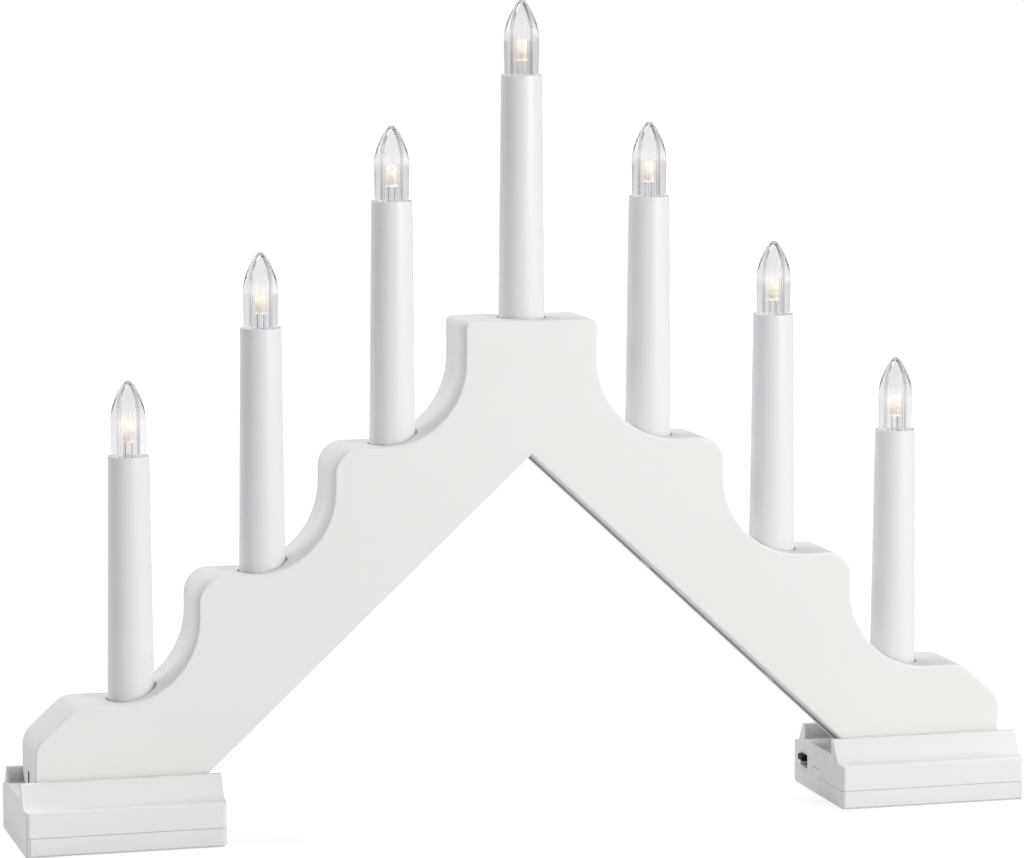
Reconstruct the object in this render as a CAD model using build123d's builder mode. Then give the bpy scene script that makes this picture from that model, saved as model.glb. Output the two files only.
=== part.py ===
"""Seven-light candle arch that stands on two battery boxes.

A painted board is cut to a stepped outline on two legs. Seven candle tubes stand in bores on its steps,
each with an LED under a clear flame cap. Both feet stand in the channel of a battery box. Lengths are in
millimetres: +X is right, +Y is to the back, +Z is up, and the origin is on the floor under the middle.
"""

import os
from math import atan, cos

from build123d import *

os.makedirs("parts", exist_ok=True)

# Arch board: steps, feet and legs
candle_pitch = 53.2
steps_per_side = 3
step_height = 49.0
foot_height = 34.6
plateau_half_width = 27.2
lower_step_extra = 1.7
foot_overhang = 41.0
rear_bevel = 7.0
leg_depth = 53.7
board_thickness = 31.8
step_corner_radius = 9.8
riser_straight = 5.9
plateau_corner_radius = 2.5
foot_bevel_run = 16.2
foot_bevel_rise = 14.6
arris_radius = 1.0

# Arch board: bores and the wire's ways
bore_clearance = 0.75
bore_depth = 22.0
wire_hole_diameter = 5.0
kerf_width = 3.6
kerf_depth = 7.5

# Candle tubes
tube_base_diameter = 18.5
tube_top_diameter = 16.4
tube_rise = 96.7
tube_wall = 1.2
tube_rim_round = 0.5
ledge_width = 1.4
ledge_thickness = 2.0

# Flame caps
cap_diameter = 14.0
cap_neck_diameter = 13.5
cap_rise = 29.6
cap_belly_height = 12.9
cap_insert = 6.0
cap_tip_radius = 2.0
cap_tip_wall = 1.8
cap_bore_diameter = 6.0
cap_bore_straight = 18.5
cap_bore_tip_radius = 0.8
cap_fit = 0.15
flute_count = 12
flute_radius = 0.3

# LEDs and their holders
led_diameter = 4.4
led_flange_diameter = 5.0
led_flange_height = 1.0
led_height = 8.6
led_lift = 5.5
lead_side = 0.5
lead_spacing = 2.54
holder_thickness = 3.2
holder_boss_diameter = 5.2
holder_boss_height = 2.6
holder_fit = 0.1
lead_hole_clearance = 0.15

# Battery boxes
box_length = 79.3
box_depth = 60.6
box_end_margin = 6.1
box_inner_margin = 10.9
box_wall = 1.6
box_corner_radius = 2.0
split_height = 7.6
shoulder_height = 17.9
channel_floor_height = 20.4
channel_floor_thickness = 2.0
channel_clearance = 0.4
rail_height = 26.8
rail_top_share = 0.171
rail_foot_share = 0.586
rail_fillet_share = 0.69
rail_top_round = 0.6
shoulder_round = 1.2
rail_pocket_depth = 1.3
rail_pocket_drop = 2.0
rail_pocket_sill = 0.6
rail_pocket_end = 0.9

# Battery doors
door_floor = 1.5
door_gap = 0.15
door_edge_bevel = 0.7
tongue_width = 16.9
tongue_height = 4.3
tongue_spacing = 25.9
tongue_clearance = 0.2
tongue_root = 1.0
tab_width = 9.6
tab_rise = 3.4
tab_offset = 2.3
tab_corner_radius = 1.5

# Cells and contacts
cell_diameter = 14.2
cell_bay_share = 0.6845
cell_nub_diameter = 5.4
cell_nub_height = 1.3
cell_edge_round = 0.6
cell_spacing = 15.5
cells_per_box = 3
cell_floor_gap = 0.2
strip_width = 9.0
strip_height = 6.8
strip_thickness = 0.4
leaf_depth = 3.4
leaf_bend_radius = 0.6
partition_thickness = 1.5
rib_thickness = 1.0
rib_depth = 5.0

# Switch, timer board and wires
knob_width = 5.6
knob_height = 2.4
knob_reach = 1.8
knob_travel = 2.6
knob_clearance = 0.3
window_margin = 1.4
window_offset_share = 0.2805
window_sill = 0.8
switch_depth = 4.6
switch_wall = 1.2
switch_setback = 0.1
pocket_depth = 2.4
board_sheet = 1.2
timer_board_share = 0.726
timer_board_height = 7.0
timer_board_offset_share = 0.033
chip_length = 5.0
chip_width = 4.0
chip_height = 1.6
wire_diameter = 1.6
wire_bend_radius = 3.6

# Screws from the box into the foot
screw_diameter = 3.0
screw_length = 12.0
screw_head_diameter = 5.6
screw_head_height = 1.9
screw_clearance = 0.2
screw_spacing = 14.0

cut_overrun = 2.0

# Places worked out from the sizes above
board_half = board_thickness / 2
foot_top = channel_floor_height + foot_height
plateau_top = foot_top + steps_per_side * step_height
apex_height = plateau_top - leg_depth
foot_reach = steps_per_side * candle_pitch + foot_overhang
foot_length = box_length - box_end_margin - box_inner_margin
foot_inner = foot_reach - foot_length
leg_slope = (apex_height - channel_floor_height) / foot_inner
leg_angle = atan(leg_slope)
cove_radius = min(step_height - step_corner_radius - riser_straight, candle_pitch - 2 * step_corner_radius)
kerf_rise = kerf_depth / cos(leg_angle)
tube_length = bore_depth + tube_rise
bore_radius = tube_base_diameter / 2 + bore_clearance
cap_socket_radius = cap_neck_diameter / 2 + cap_fit
holder_top = tube_length - cap_insert
holder_base = holder_top - holder_thickness
box_outer = foot_reach + box_end_margin
box_inner = box_outer - box_length
box_middle = (box_outer + box_inner) / 2
cavity_inner = box_inner + box_wall
cavity_outer = box_outer - box_wall
cavity_half_depth = box_depth / 2 - box_wall
shoulder_ceiling = shoulder_height - box_wall
channel_ceiling = channel_floor_height - channel_floor_thickness
channel_half = board_half + channel_clearance
rail_room = box_depth / 2 - channel_half
rail_top_width = rail_room * rail_top_share
rail_foot_width = rail_room * rail_foot_share
rail_foot_fillet = (rail_room - rail_foot_width) * rail_fillet_share
cell_axis_height = door_floor + cell_floor_gap + cell_diameter / 2
cell_bay = box_length * cell_bay_share
cell_total = cell_bay - strip_thickness - leaf_depth
cell_length = cell_total - cell_nub_height
partition_outer = cavity_outer - cell_bay
partition_inner = partition_outer - partition_thickness
window_offset = box_depth * window_offset_share
window_low = split_height + window_sill
window_height = knob_height + knob_travel + 2 * knob_clearance
switch_front = cavity_inner + switch_setback
switch_back = switch_front + switch_depth
timer_board_back = switch_back + board_sheet
timer_board_width = box_depth * timer_board_share
timer_board_offset = box_depth * timer_board_offset_share
feed_x = (timer_board_back + partition_inner) / 2
wire_level = cell_axis_height + wire_diameter
trunk_level = channel_floor_height + kerf_depth / 2
trunk_apex = apex_height + kerf_rise / 2
kerf_knee = foot_inner + (kerf_rise - kerf_depth) / leg_slope
trunk_knee = foot_inner + (kerf_rise - kerf_depth) / 2 / leg_slope
candle_spots = []
for index in range(-steps_per_side, steps_per_side + 1):
    candle_spots.append((index * candle_pitch, plateau_top - abs(index) * step_height))

# Right half of the board's outline, from the apex between the legs round to the middle of the plateau
board_outline = [
    (0, apex_height),
    (foot_inner, channel_floor_height),
    (foot_reach, channel_floor_height),
    (foot_reach, foot_top - foot_bevel_rise),
    (foot_reach - foot_bevel_run, foot_top),
]
outline_radii = [0, 0, step_corner_radius, step_corner_radius]
for index in range(steps_per_side - 1, -1, -1):
    riser_x = index * candle_pitch + plateau_half_width
    if index == steps_per_side - 1:
        riser_x += lower_step_extra
    upper_tread = plateau_top - index * step_height
    board_outline += [(riser_x, upper_tread - step_height), (riser_x, upper_tread)]
    outline_radii += [cove_radius, step_corner_radius if index else plateau_corner_radius]
board_outline.append((0, plateau_top))


def place(solid, x, z):
    """Returns a copy of a solid with its own origin moved to (x, 0, z)."""
    return solid.moved(Location((x, 0, z)))


def save(solid, node):
    """Labels a finished piece and writes it as its own file."""
    solid.label = node
    export_step(solid, f"parts/{node}.step")


def half_turn(solid):
    """Returns a right-hand box piece turned half round to the left foot."""
    return solid.rotate(Axis.Z, 180)


def ogive_end(half_width, rise, tip_radius):
    """Returns the radius and height at which an ogive runs into its round tip."""
    arc_radius = (half_width**2 + rise**2 - 2 * rise * tip_radius) / (2 * (half_width - tip_radius))
    tip_share = tip_radius / (arc_radius - tip_radius)
    return (arc_radius - half_width) * tip_share, (rise - tip_radius) * (1 + tip_share)


# Arch board: half the outline is drawn, with coves in the inner corners, and mirrored
with BuildPart() as arch_board:
    with BuildSketch(Plane.XZ):
        with BuildLine():
            FilletPolyline(*board_outline, radius=outline_radii)
            Line((0, plateau_top), (0, apex_height))
        make_face()
        mirror(about=Plane.YZ)
    extrude(amount=board_half, both=True)
    underside = arch_board.faces().filter_by(lambda face: face.normal_at().Z < -0.5)
    chamfer(underside.edges().filter_by(lambda edge: edge.center().Y > 0), length=rear_bevel)
    bevel_edges = arch_board.faces().filter_by(lambda face: 0.1 < face.normal_at().Y < 0.9).edges()
    face_edges = arch_board.faces().filter_by(Axis.Y).edges() - bevel_edges
    fillet(face_edges.filter_by(lambda edge: edge.center().Z > channel_floor_height + arris_radius), arris_radius)
    for candle_x, tread_top in candle_spots:
        with BuildSketch(Plane.XY.offset(tread_top - bore_depth)):
            with Locations((candle_x, 0)):
                Circle(bore_radius)
        extrude(amount=bore_depth + cove_radius, mode=Mode.SUBTRACT)
        with BuildSketch(Plane.XY.offset(tread_top - leg_depth - cut_overrun)):
            with Locations((candle_x, 0)):
                Circle(wire_hole_diameter / 2)
        extrude(amount=leg_depth, mode=Mode.SUBTRACT)
    with BuildSketch(Plane.XZ):
        with BuildLine():
            Polyline(
                (0, apex_height + kerf_rise),
                (kerf_knee, channel_floor_height + kerf_depth),
                (foot_reach + cut_overrun, channel_floor_height + kerf_depth),
                (foot_reach + cut_overrun, channel_floor_height - cut_overrun),
                (foot_inner, channel_floor_height - cut_overrun),
                (0, apex_height - cut_overrun),
                close=True,
            )
        make_face()
        mirror(about=Plane.YZ)
    extrude(amount=kerf_width / 2, both=True, mode=Mode.SUBTRACT)
    for side in (-1, 1):
        with Locations((side * feed_x, screw_spacing / 2, 0), (side * feed_x, -screw_spacing / 2, 0)):
            Cylinder(
                (screw_diameter + screw_clearance) / 2,
                channel_floor_height + screw_length,
                align=(Align.CENTER, Align.CENTER, Align.MIN),
                mode=Mode.SUBTRACT,
            )
save(arch_board.part, "arch_board")

# Candle tube: straight in its bore, then tapered, with a ledge inside for the LED holder
with BuildPart() as candle_tube:
    with BuildSketch(Plane.XZ):
        with BuildLine():
            base_radius = tube_base_diameter / 2
            top_radius = tube_top_diameter / 2
            ledge_base = holder_base - ledge_thickness
            taper = (base_radius - top_radius) / tube_rise
            ledge_wall_radius = top_radius + taper * (tube_length - ledge_base) - tube_wall
            Polyline(
                (base_radius - tube_wall, 0),
                (base_radius, 0),
                (base_radius, bore_depth),
                (top_radius, tube_length),
                (cap_socket_radius, tube_length),
                (cap_socket_radius, holder_base),
                (cap_socket_radius - ledge_width, holder_base),
                (cap_socket_radius - ledge_width, ledge_base),
                (ledge_wall_radius, ledge_base),
                (base_radius - tube_wall, bore_depth),
                close=True,
            )
        make_face()
    revolve(axis=Axis.Z)
    rim = candle_tube.faces().sort_by(Axis.Z)[-1].outer_wire().edges()
    fillet(rim, radius=tube_rim_round)

# Flame cap: a thick pointed ogive over a slightly tapered neck, with a narrow pointed bore and fine flutes in it
with BuildPart() as flame_cap:
    belly = cap_diameter / 2
    neck = cap_neck_diameter / 2
    cap_bore = cap_bore_diameter / 2
    bore_top = cap_rise - cap_tip_wall
    tip_edge, tip_rise = ogive_end(belly, cap_rise - cap_belly_height, cap_tip_radius)
    bore_edge, bore_rise = ogive_end(cap_bore, bore_top - cap_bore_straight, cap_bore_tip_radius)
    with BuildSketch(Plane.XZ):
        with BuildLine():
            Polyline((cap_bore, -cap_insert), (neck, -cap_insert), (neck, 0), (belly, cap_belly_height))
            outside = TangentArc((belly, cap_belly_height), (tip_edge, cap_belly_height + tip_rise), tangent=(0, 1))
            RadiusArc(outside @ 1, (0, cap_rise), -cap_tip_radius)
            Line((0, cap_rise), (0, bore_top))
            Line((cap_bore, -cap_insert), (cap_bore, cap_bore_straight))
            inside = TangentArc((cap_bore, cap_bore_straight), (bore_edge, cap_bore_straight + bore_rise), tangent=(0, 1))
            RadiusArc(inside @ 1, (0, bore_top), -cap_bore_tip_radius)
        make_face()
    revolve(axis=Axis.Z)
    with BuildSketch(Plane.XY.offset(-cap_insert)):
        with PolarLocations(cap_bore, flute_count):
            RegularPolygon(flute_radius, 6)
    extrude(amount=cap_insert + cap_bore_straight, mode=Mode.SUBTRACT)

# LED: domed body on a flange, with two square leads
with BuildPart() as led:
    with BuildSketch(Plane.XZ):
        with BuildLine():
            dome_radius = led_diameter / 2
            flange_radius = led_flange_diameter / 2
            dome_base = led_height - dome_radius
            Polyline(
                (0, 0),
                (flange_radius, 0),
                (flange_radius, led_flange_height),
                (dome_radius, led_flange_height),
                (dome_radius, dome_base),
            )
            RadiusArc((dome_radius, dome_base), (0, led_height), -dome_radius)
            Line((0, led_height), (0, 0))
        make_face()
    revolve(axis=Axis.Z)
    with BuildSketch():
        with GridLocations(lead_spacing, 0, 2, 1):
            Rectangle(lead_side, lead_side)
    extrude(amount=-(led_lift + cap_insert + holder_thickness))

# LED holder: a plug on the tube's ledge, with a boss and two lead holes
with BuildPart() as led_holder:
    with BuildSketch():
        Circle(cap_socket_radius - holder_fit)
    extrude(amount=holder_thickness)
    with BuildSketch(Plane.XY.offset(holder_thickness)):
        Circle(holder_boss_diameter / 2)
    extrude(amount=holder_boss_height)
    with BuildSketch():
        with GridLocations(lead_spacing, 0, 2, 1):
            Rectangle(lead_side + 2 * lead_hole_clearance, lead_side + 2 * lead_hole_clearance)
    extrude(amount=holder_thickness + holder_boss_height, mode=Mode.SUBTRACT)

for number, (candle_x, tread_top) in enumerate(candle_spots, start=1):
    tube_foot = tread_top - bore_depth
    tube_rim = tread_top + tube_rise
    save(place(candle_tube.part, candle_x, tube_foot), f"candle_tube_{number}")
    save(place(led_holder.part, candle_x, tube_foot + holder_base), f"led_holder_{number}")
    save(place(led.part, candle_x, tube_rim + led_lift), f"led_{number}")
    save(place(flame_cap.part, candle_x, tube_rim), f"flame_cap_{number}")


def housing(with_switch):
    """Builds the right-hand battery housing: rails and channel above, an open compartment below."""
    with BuildPart() as shell:
        with BuildSketch(Plane.YZ.offset(box_inner)):
            with BuildLine():
                FilletPolyline(
                    (0, 0),
                    (box_depth / 2, 0),
                    (box_depth / 2, shoulder_height),
                    (channel_half + rail_foot_width, shoulder_height),
                    (channel_half + rail_top_width, rail_height),
                    (channel_half, rail_height),
                    (channel_half, channel_floor_height),
                    (0, channel_floor_height),
                    radius=[0, shoulder_round, rail_foot_fillet, rail_top_round, rail_top_round, 0],
                )
                Line((0, channel_floor_height), (0, 0))
            make_face()
            mirror(about=Plane.YZ)
        extrude(amount=box_length)
        with BuildSketch():
            with Locations((box_middle, 0)):
                RectangleRounded(box_length, box_depth, box_corner_radius)
        extrude(amount=rail_height, mode=Mode.INTERSECT)
        with BuildSketch():
            with Locations((box_middle, 0)):
                Rectangle(box_length - 2 * box_wall, box_depth - 2 * box_wall)
        extrude(amount=shoulder_ceiling, mode=Mode.SUBTRACT)
        with BuildSketch():
            with Locations((box_middle, 0)):
                Rectangle(box_length - 2 * box_wall, 2 * (channel_half - box_wall))
        extrude(amount=channel_ceiling, mode=Mode.SUBTRACT)
        with BuildSketch(Plane.YZ.offset(partition_inner)):
            with Locations((0, split_height)):
                Rectangle(2 * cavity_half_depth, shoulder_ceiling - split_height, align=(Align.CENTER, Align.MIN))
            with Locations((0, shoulder_ceiling)):
                Rectangle(2 * (channel_half - box_wall), channel_ceiling - shoulder_ceiling,
                          align=(Align.CENTER, Align.MIN))
        extrude(amount=partition_thickness)
        with BuildSketch(Plane.YZ.offset(partition_outer)):
            with Locations((-cell_spacing / 2, channel_ceiling), (cell_spacing / 2, channel_ceiling)):
                Rectangle(rib_thickness, rib_depth, align=(Align.CENTER, Align.MAX))
        extrude(amount=cavity_outer - partition_outer - leaf_depth)
        with BuildSketch():
            with Locations((box_inner - cut_overrun, 0)):
                Rectangle(box_length + cut_overrun - box_wall, box_depth + cut_overrun,
                          align=(Align.MIN, Align.CENTER))
        extrude(amount=split_height, mode=Mode.SUBTRACT)
        with BuildSketch(Plane.YZ.offset(cavity_outer - cut_overrun)):
            with GridLocations(tongue_spacing, 0, 2, 1):
                Rectangle(tongue_width + 2 * tongue_clearance, tongue_height + tongue_clearance,
                          align=(Align.CENTER, Align.MIN))
        extrude(amount=box_wall + 2 * cut_overrun, mode=Mode.SUBTRACT)
        with BuildSketch(Plane.YZ.offset(box_inner - cut_overrun)) as tab_slot:
            with Locations((tab_offset, split_height)):
                Rectangle(tab_width + 2 * tongue_clearance, tab_rise + tongue_clearance,
                          align=(Align.CENTER, Align.MIN))
            fillet(tab_slot.vertices().group_by(Axis.Y)[-1], radius=tab_corner_radius)
            if with_switch:
                with Locations((window_offset, window_low)):
                    Rectangle(knob_width + 2 * window_margin, window_height, align=(Align.CENTER, Align.MIN))
        extrude(amount=box_wall + cut_overrun, mode=Mode.SUBTRACT)
        with BuildSketch(Plane.YZ.offset(box_inner + rail_pocket_end)):
            with Locations((0, channel_floor_height + rail_pocket_sill)):
                Rectangle(2 * (channel_half + rail_pocket_depth), rail_height - rail_pocket_drop
                          - channel_floor_height - rail_pocket_sill, align=(Align.CENTER, Align.MIN))
        extrude(amount=box_length - 2 * rail_pocket_end, mode=Mode.SUBTRACT)
        with BuildSketch(Plane.XY.offset(channel_ceiling)):
            with Locations((feed_x, 0)):
                Circle(wire_hole_diameter / 2)
            with Locations((feed_x, screw_spacing / 2), (feed_x, -screw_spacing / 2)):
                Circle((screw_diameter + screw_clearance) / 2)
        extrude(amount=channel_floor_thickness, mode=Mode.SUBTRACT)
        with BuildSketch(Plane.YZ.offset(partition_inner)):
            with Locations((-cell_spacing, wire_level), (0, wire_level), (cell_spacing, wire_level)):
                Circle(wire_diameter)
        extrude(amount=partition_thickness, mode=Mode.SUBTRACT)
    return shell.part


save(housing(True), "battery_housing_right")
save(half_turn(housing(False)), "battery_housing_left")

# Battery door: a tray that closes the box from below, with tongues and a latch tab
with BuildPart() as battery_door:
    door_outer = cavity_outer - door_gap
    door_top = split_height - door_gap
    with BuildSketch():
        with Locations((box_middle, 0)):
            RectangleRounded(box_length, box_depth, box_corner_radius)
    extrude(amount=door_top)
    bottom_edges = battery_door.faces().sort_by(Axis.Z)[0].edges()
    chamfer(bottom_edges, length=door_edge_bevel)
    with BuildSketch(Plane.XY.offset(door_floor)):
        with Locations((cavity_inner, 0)):
            Rectangle(box_length, 2 * cavity_half_depth, align=(Align.MIN, Align.CENTER))
    extrude(amount=door_top, mode=Mode.SUBTRACT)
    with BuildSketch():
        with Locations((door_outer, 0)):
            Rectangle(box_length, box_depth + cut_overrun, align=(Align.MIN, Align.CENTER))
    extrude(amount=door_top, mode=Mode.SUBTRACT)
    with BuildSketch(Plane.YZ.offset(door_outer - tongue_root)):
        with GridLocations(tongue_spacing, 0, 2, 1):
            Rectangle(tongue_width, tongue_height, align=(Align.CENTER, Align.MIN))
    extrude(amount=tongue_root + door_gap + box_wall)
    with BuildSketch(Plane.YZ.offset(box_inner)) as latch_tab:
        with Locations((tab_offset, door_top)):
            Rectangle(tab_width, tab_rise, align=(Align.CENTER, Align.MIN))
        fillet(latch_tab.vertices().group_by(Axis.Y)[-1], radius=tab_corner_radius)
    extrude(amount=box_wall)
save(battery_door.part, "battery_door_right")
save(half_turn(battery_door.part), "battery_door_left")

# AA cell, along +X from its flat end to its nub
with BuildPart() as battery_cell:
    with BuildSketch(Plane.XY):
        with BuildLine():
            cell_radius = cell_diameter / 2
            nub_radius = cell_nub_diameter / 2
            FilletPolyline(
                (0, 0),
                (0, cell_radius),
                (cell_length, cell_radius),
                (cell_length, nub_radius),
                (cell_total, nub_radius),
                (cell_total, 0),
                radius=[cell_edge_round, cell_edge_round, 0, 0],
            )
            Line((cell_total, 0), (0, 0))
        make_face()
    revolve(axis=Axis.X)

# Contacts, along +X from the wall behind them: a strip bent into a spring, and a flat strip
with BuildPart() as leaf_strip:
    with BuildSketch(Plane.XZ):
        with BuildLine():
            leaf_back = strip_thickness / 2
            leaf_front = leaf_depth - strip_thickness / 2
            leaf_half = strip_height / 2
            FilletPolyline(
                (leaf_back, -leaf_half),
                (leaf_back, leaf_half),
                (leaf_front, leaf_bend_radius),
                (leaf_front, -leaf_bend_radius),
                (leaf_back + leaf_depth / 2, -leaf_half),
                radius=leaf_bend_radius,
            )
        trace(line_width=strip_thickness)
    extrude(amount=strip_width / 2, both=True)

with BuildPart() as flat_strip:
    with BuildSketch(Plane.YZ):
        Rectangle(strip_width, strip_height)
    extrude(amount=strip_thickness)

# Three cells side by side in each box, turned end for end so that they join in series
cell_rows = [(index - (cells_per_box - 1) / 2) * cell_spacing for index in range(cells_per_box)]
with BuildPart() as battery_cells:
    for index, cell_y in enumerate(cell_rows):
        if index % 2:
            add(battery_cell.part.moved(Location((partition_outer + strip_thickness, cell_y, cell_axis_height))))
        else:
            outer_end = Location((cavity_outer - leaf_depth, cell_y, cell_axis_height), (0, 0, 180))
            add(battery_cell.part.moved(outer_end))
with BuildPart() as contact_strips:
    for cell_y in cell_rows:
        add(leaf_strip.part.moved(Location((cavity_outer, cell_y, cell_axis_height), (0, 0, 180))))
        add(flat_strip.part.moved(Location((partition_outer, cell_y, cell_axis_height))))
save(battery_cells.part, "battery_cells_right")
save(half_turn(battery_cells.part), "battery_cells_left")
save(contact_strips.part, "contact_strips_right")
save(half_turn(contact_strips.part), "contact_strips_left")

# Slide switch: a body behind the window, and a knob that slides up and down in its pocket
with BuildPart() as switch_body:
    with BuildSketch(Plane.YZ.offset(switch_front)):
        with Locations((window_offset, window_low + window_height / 2)):
            Rectangle(knob_width + 2 * window_margin + 2 * switch_wall, window_height + 2 * switch_wall)
    extrude(amount=switch_depth)
    with BuildSketch(Plane.YZ.offset(switch_front)):
        with Locations((window_offset, window_low + window_height / 2)):
            Rectangle(knob_width + 2 * knob_clearance, window_height)
    extrude(amount=pocket_depth, mode=Mode.SUBTRACT)
save(switch_body.part, "switch_body")

with BuildPart() as switch_knob:
    with BuildSketch(Plane.YZ.offset(box_inner - knob_reach)):
        with Locations((window_offset, window_low + window_height - knob_clearance)):
            Rectangle(knob_width, knob_height, align=(Align.CENTER, Align.MAX))
    extrude(amount=knob_reach + box_wall + switch_setback + pocket_depth - knob_clearance)
    knob_end = switch_knob.faces().sort_by(Axis.X)[0].edges()
    chamfer(knob_end, length=knob_clearance)
save(switch_knob.part, "switch_knob")

# Timer board on the back of the switch, with its chip
with BuildPart() as timer_board:
    with BuildSketch(Plane.YZ.offset(switch_back)):
        with Locations((timer_board_offset, window_low)):
            Rectangle(timer_board_width, timer_board_height, align=(Align.CENTER, Align.MIN))
    extrude(amount=board_sheet)
    with BuildSketch(Plane.YZ.offset(timer_board_back)):
        with Locations((cell_spacing / 2, window_low + timer_board_height / 2)):
            Rectangle(chip_length, chip_width)
    extrude(amount=chip_height)
save(timer_board.part, "timer_board")

# Leads from the outer two cells' contacts to the timer board
with BuildPart() as battery_leads:
    with BuildSketch(Plane.YZ.offset(timer_board_back)):
        with Locations((-cell_spacing, wire_level), (cell_spacing, wire_level)):
            Circle(wire_diameter / 2)
    extrude(amount=partition_outer - timer_board_back)
save(battery_leads.part, "battery_leads")

# Wire harness: one run through the kerf from the first candle to the last, with a drop to each other
# candle and a feed into each box
candle_wire_tops = [tread_top - bore_depth + holder_base for candle_x, tread_top in candle_spots]
outer_candle = steps_per_side * candle_pitch
apex_cut = wire_bend_radius * (1 / cos(leg_angle) - 1)
with BuildPart() as wire_harness:
    with BuildLine(Plane.XZ) as trunk:
        FilletPolyline(
            (-outer_candle, candle_wire_tops[0]),
            (-outer_candle, trunk_level),
            (-trunk_knee, trunk_level),
            (0, trunk_apex),
            (trunk_knee, trunk_level),
            (outer_candle, trunk_level),
            (outer_candle, candle_wire_tops[-1]),
            radius=wire_bend_radius,
        )
    with BuildSketch(Plane(origin=trunk.line @ 0, z_dir=trunk.line % 0)):
        Circle(wire_diameter / 2)
    sweep(path=trunk.line)
    for (candle_x, tread_top), wire_top in list(zip(candle_spots, candle_wire_tops))[1:-1]:
        drop_foot = min(trunk_apex - leg_slope * abs(candle_x), trunk_apex - apex_cut)
        with BuildSketch(Plane.XY.offset(drop_foot)):
            with Locations((candle_x, 0)):
                Circle(wire_diameter / 2)
        extrude(amount=wire_top - drop_foot)
    for side, feed_end in ((1, timer_board_back), (-1, -partition_outer)):
        with BuildLine(Plane.XZ) as feed:
            FilletPolyline(
                (side * feed_x, trunk_level),
                (side * feed_x, wire_level),
                (feed_end, wire_level),
                radius=wire_bend_radius,
            )
        with BuildSketch(Plane(origin=feed.line @ 0, z_dir=feed.line % 0)):
            Circle(wire_diameter / 2)
        sweep(path=feed.line)
save(wire_harness.part, "wire_harness")

# Two screws from inside each box up into the foot
with BuildPart() as foot_screws:
    with BuildSketch(Plane.XY.offset(channel_ceiling - screw_head_height)):
        with Locations((feed_x, screw_spacing / 2), (feed_x, -screw_spacing / 2)):
            Circle(screw_head_diameter / 2)
    extrude(amount=screw_head_height)
    with BuildSketch(Plane.XY.offset(channel_ceiling)):
        with Locations((feed_x, screw_spacing / 2), (feed_x, -screw_spacing / 2)):
            Circle(screw_diameter / 2)
    extrude(amount=channel_floor_thickness + screw_length - screw_clearance)
save(foot_screws.part, "foot_screws_right")
save(half_turn(foot_screws.part), "foot_screws_left")
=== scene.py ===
# %% [markdown]
# # A candle arch on two battery boxes
# The object is a thick white board sawn to a stepped arch. Seven candle tubes stand in bores on its steps,
# each with an LED under a clear flame cap, and both feet stand in battery boxes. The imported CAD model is
# loaded first and stays as it is. This lesson adds the surfaces and finishes that a camera sees. Lengths on
# the object are written in millimetres and turned into Blender's metres by MM.

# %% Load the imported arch
import math

import bpy
import numpy as np
from mathutils import Matrix, Vector


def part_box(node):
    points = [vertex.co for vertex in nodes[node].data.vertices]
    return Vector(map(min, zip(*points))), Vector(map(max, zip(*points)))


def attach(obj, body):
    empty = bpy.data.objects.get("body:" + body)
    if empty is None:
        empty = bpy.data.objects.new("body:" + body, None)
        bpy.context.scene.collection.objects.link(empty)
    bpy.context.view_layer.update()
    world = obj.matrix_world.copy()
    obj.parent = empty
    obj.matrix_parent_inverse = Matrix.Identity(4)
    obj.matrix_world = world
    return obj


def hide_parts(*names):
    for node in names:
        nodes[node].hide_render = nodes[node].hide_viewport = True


MM = 0.001


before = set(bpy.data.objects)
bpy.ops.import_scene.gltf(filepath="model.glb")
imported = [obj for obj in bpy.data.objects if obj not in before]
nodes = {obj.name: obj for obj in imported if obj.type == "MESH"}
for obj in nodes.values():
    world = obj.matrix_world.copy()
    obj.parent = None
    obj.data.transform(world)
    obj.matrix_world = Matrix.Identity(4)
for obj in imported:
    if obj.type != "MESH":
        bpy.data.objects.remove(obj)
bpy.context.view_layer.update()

# %% [markdown]
# ## The camera
# The arch was seen through a long lens, from a little to its left and above its top step. A camera could be
# aimed with a Track To constraint, but a matrix built from three plain angles is easier to check: a turn
# about the vertical, a tilt down, and a small roll. The lens follows from the focal length in pixels.

# %% Camera from place, turn, tilt and roll
camera_place = Vector((-457.9, -1641.9, 374.3)) * MM
turn, tilt, roll = (math.radians(angle) for angle in (15.46, 7.272, 0.05))
sensor_width = 36.0
focal_pixels = 4282.0
image_pixels = 1024.0

ahead = Vector((math.sin(turn) * math.cos(tilt), math.cos(turn) * math.cos(tilt), -math.sin(tilt)))
level_right = Vector((math.cos(turn), -math.sin(turn), 0))
level_up = level_right.cross(ahead)
right = level_right * math.cos(roll) + level_up * math.sin(roll)
upward = level_up * math.cos(roll) - level_right * math.sin(roll)

lens = bpy.data.cameras.new("long_lens")
lens.sensor_fit = "HORIZONTAL"
lens.sensor_width = sensor_width
lens.lens = sensor_width * focal_pixels / image_pixels
camera = bpy.data.objects.new("camera", lens)
camera.matrix_world = Matrix.Translation(camera_place) @ Matrix((right, upward, -ahead)).transposed().to_4x4()
bpy.context.scene.collection.objects.link(camera)
bpy.context.scene.camera = camera
print("camera:", round(camera_place.length, 3), "m from the origin, lens", round(lens.lens, 1), "mm")

# %% [markdown]
# ## Laying out node materials
# Every finish here is a small tree of shader nodes. Clicking nodes together in the editor would do, but in
# a script a short helper keeps each tree readable: it makes one node, sets its options and fills its
# sockets, either with a plain value or with a link from another node. The other helpers are the few
# patterns and mixes that every finish is made of.

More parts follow.
